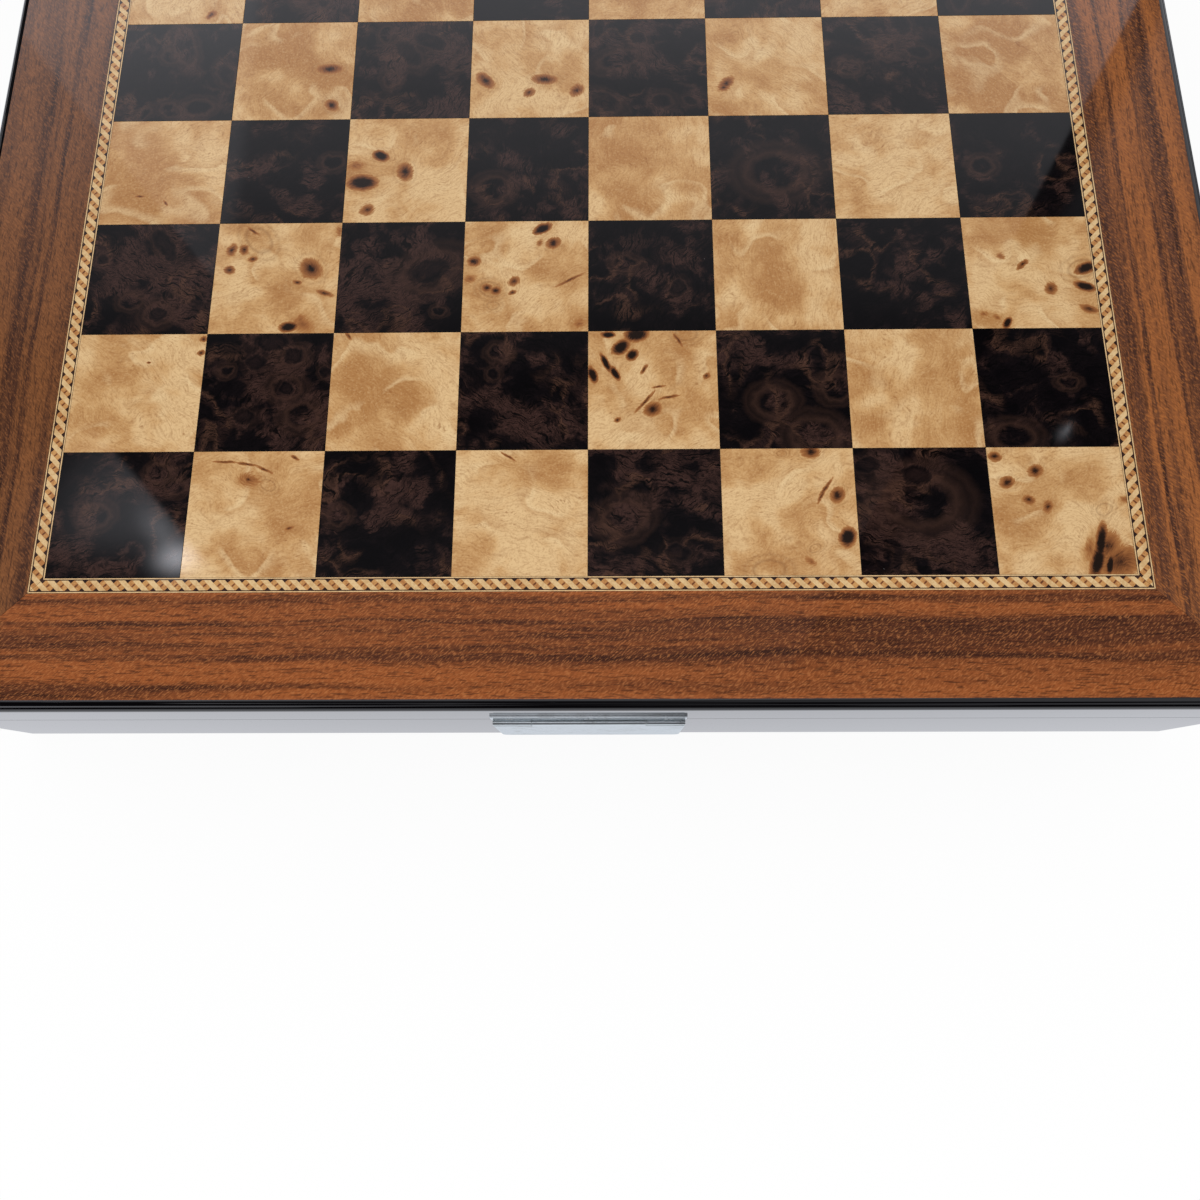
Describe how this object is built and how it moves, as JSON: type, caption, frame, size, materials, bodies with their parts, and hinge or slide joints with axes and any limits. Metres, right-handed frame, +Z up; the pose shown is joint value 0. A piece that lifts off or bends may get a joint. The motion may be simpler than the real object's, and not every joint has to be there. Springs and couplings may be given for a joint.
{
  "type": "chess box with hinged lid",
  "caption": "Flat square games box with a hinged lid whose top is a veneered chess board, a felt-lined base in two compartments and a front clasp.",
  "frame": {"origin": "middle of the felt underside, on the surface that the box rests on", "axes": "+Z up; +X to the right seen from the clasp; -Y towards the clasp at the front, +Y towards the hinges"},
  "size_m": [0.4484, 0.4546, 0.068],
  "materials": {
    "black_lacquer": "wood board under black high-gloss lacquer",
    "panel_board": "plain board",
    "light_burl": "golden burl veneer under clear high-gloss lacquer",
    "dark_burl": "near-black burl veneer under clear high-gloss lacquer",
    "inlay_band": "patterned inlay banding under clear high-gloss lacquer",
    "walnut": "striped walnut veneer under clear high-gloss lacquer",
    "green_felt": "dense wool felt",
    "hinge_nickel": "satin nickel plate",
    "clasp_nickel": "bright nickel plate",
    "screw_nickel": "nickel plate"
  },
  "bodies": {
    "base": {"base_front_wall": "black_lacquer", "base_right_wall": "black_lacquer", "base_back_wall": "black_lacquer", "base_left_wall": "black_lacquer", "base_floor_panel": "panel_board", "base_felt": "green_felt", "centre_divider": "panel_board", "divider_cover": "green_felt", "floor_lining_left": "green_felt", "floor_lining_right": "green_felt", "wall_lining_front": "green_felt", "wall_lining_right": "green_felt", "wall_lining_back": "green_felt", "wall_lining_left": "green_felt", "hinge_left_base_leaf": "hinge_nickel", "hinge_right_base_leaf": "hinge_nickel", "hinge_left_pin": "hinge_nickel", "hinge_right_pin": "hinge_nickel", "hinge_base_screws": "screw_nickel", "keeper_plate": "clasp_nickel", "keeper_screws": "screw_nickel"},
    "lid": {"lid_front_rail": "black_lacquer", "lid_right_rail": "black_lacquer", "lid_back_rail": "black_lacquer", "lid_left_rail": "black_lacquer", "lid_core_panel": "panel_board", "light_squares": "light_burl", "dark_squares": "dark_burl", "inlay_front": "inlay_band", "inlay_right": "inlay_band", "inlay_back": "inlay_band", "inlay_left": "inlay_band", "border_front": "walnut", "border_right": "walnut", "border_back": "walnut", "border_left": "walnut", "lid_lining": "green_felt", "hinge_left_lid_leaf": "hinge_nickel", "hinge_right_lid_leaf": "hinge_nickel", "hinge_lid_screws": "screw_nickel", "clasp_leaf": "clasp_nickel", "clasp_pin": "clasp_nickel", "clasp_screws": "screw_nickel"},
    "flap": {"clasp_flap": "clasp_nickel"}
  },
  "joints": [
    {"name": "lid_hinge", "type": "hinge", "parent": "base", "child": "lid", "pos_m": [0, 0.2258, 0.0448], "axis": [-1, 0, 0], "range_deg": [0, 95]},
    {"name": "clasp_hinge", "type": "hinge", "parent": "lid", "child": "flap", "pos_m": [0, -0.2254, 0.0448], "axis": [-1, 0, 0], "range_deg": [0, 120]}
  ]
}
